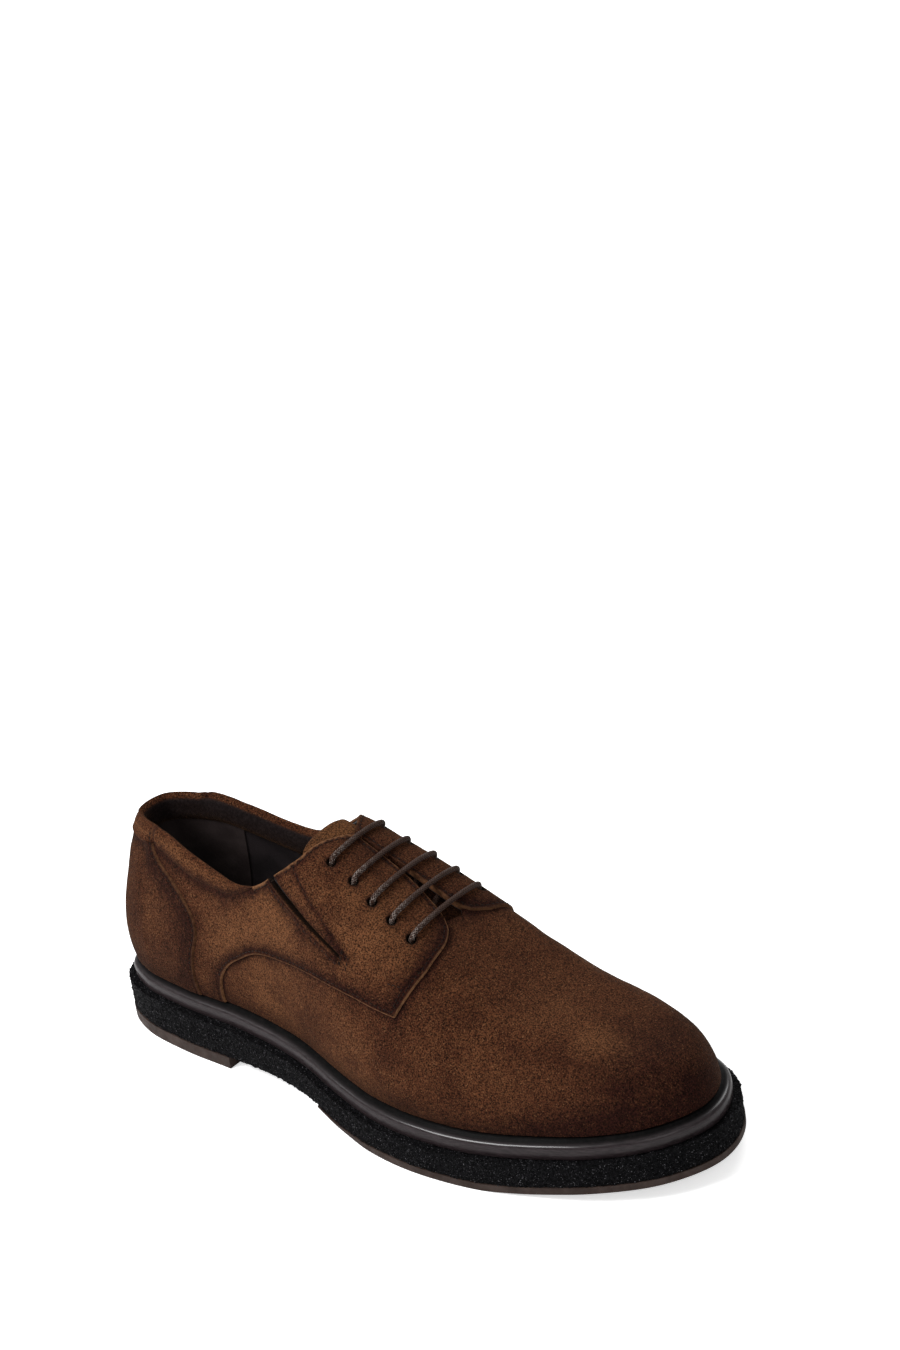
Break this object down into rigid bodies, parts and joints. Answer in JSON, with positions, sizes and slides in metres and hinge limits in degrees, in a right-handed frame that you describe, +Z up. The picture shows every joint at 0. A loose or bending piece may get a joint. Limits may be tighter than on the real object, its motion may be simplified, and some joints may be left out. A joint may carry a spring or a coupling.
{
  "type": "lace-up shoe",
  "caption": "Right derby shoe in brown suede with straight lace bars, elastic side slits, dark welt, crepe midsole, thin outsole and heel lift.",
  "frame": {"origin": "on the floor plane under the middle of the heel lift, 38 mm in front of the sole's back", "axes": "+X from heel to toe, +Y to the inner side of the foot, +Z up"},
  "size_m": [0.3046, 0.1083, 0.1112],
  "materials": {
    "upper": "suede",
    "tongue": "suede",
    "gore": "matte elastic",
    "lace": "waxed round cord",
    "insole": "matte",
    "welt": "polished",
    "crepe": "crumb crepe",
    "outsole": "matte",
    "heel_lift": "matte"
  },
  "bodies": {
    "root": {"upper": "upper", "tongue": "tongue", "gore_outer": "gore", "gore_inner": "gore", "lace": "lace", "insole": "insole", "welt": "welt", "crepe_midsole": "crepe", "outsole": "outsole", "heel_lift": "heel_lift"}
  },
  "joints": []
}
